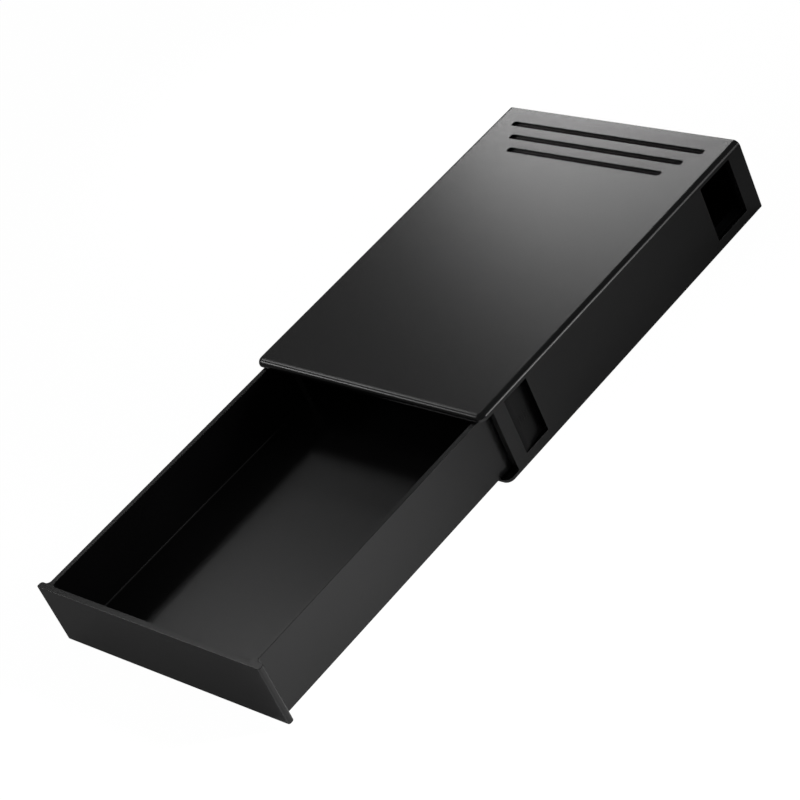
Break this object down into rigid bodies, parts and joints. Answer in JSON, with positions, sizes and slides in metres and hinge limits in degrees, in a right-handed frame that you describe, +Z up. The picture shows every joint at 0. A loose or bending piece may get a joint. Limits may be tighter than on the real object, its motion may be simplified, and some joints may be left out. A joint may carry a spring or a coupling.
{
  "type": "under desk drawer",
  "caption": "Flat sleeve that bonds under a desk, with a pull-out tray held in by sprung stop latches that show in side windows.",
  "frame": {"origin": "centre of the flat top face of the housing, the face that lies against the underside of the desk", "axes": "+Z up into the desk, -Y out of the front of the housing the way the tray pulls out, +X to the right seen from the front"},
  "size_m": [0.202, 0.4844, 0.054],
  "materials": {
    "housing_plastic": "black moulded plastic with a satin sheen",
    "tray_plastic": "black moulded plastic with a satin sheen",
    "latch_plastic": "black moulded plastic, fine satin",
    "rail_plastic": "dark low-friction plastic",
    "bumper_rubber": "soft black rubber",
    "pin_steel": "plain drawn steel"
  },
  "bodies": {
    "housing": {"housing_sleeve": "housing_plastic", "back_panel": "housing_plastic", "slide_rail_left": "rail_plastic", "slide_rail_right": "rail_plastic", "rear_bumper_left": "bumper_rubber", "rear_bumper_right": "bumper_rubber"},
    "drawer": {"drawer_tray": "tray_plastic", "tilt_pad_left": "rail_plastic", "tilt_pad_right": "rail_plastic", "latch_pin_left": "pin_steel", "latch_pin_right": "pin_steel", "latch_spring_left": "pin_steel", "latch_spring_right": "pin_steel"},
    "latch_l": {"latch_left": "latch_plastic"},
    "latch_r": {"latch_right": "latch_plastic"}
  },
  "joints": [
    {"name": "drawer_slide", "type": "slide", "parent": "housing", "child": "drawer", "axis": [0, 1, 0], "range_m": [0, 0.2145]},
    {"name": "latch_left_press", "type": "hinge", "parent": "drawer", "child": "latch_l", "pos_m": [-0.0922, -0.0908, -0.0257], "axis": [0, 0, 1], "range_deg": [0, 9], "stiffness_Nm_per_rad": 0.3, "springref_deg": -1.72, "deforming": ["latch_spring_left"]},
    {"name": "latch_right_press", "type": "hinge", "parent": "drawer", "child": "latch_r", "pos_m": [0.0922, -0.0908, -0.0257], "axis": [0, 0, -1], "range_deg": [0, 9], "stiffness_Nm_per_rad": 0.3, "springref_deg": -1.72, "deforming": ["latch_spring_right"]}
  ]
}
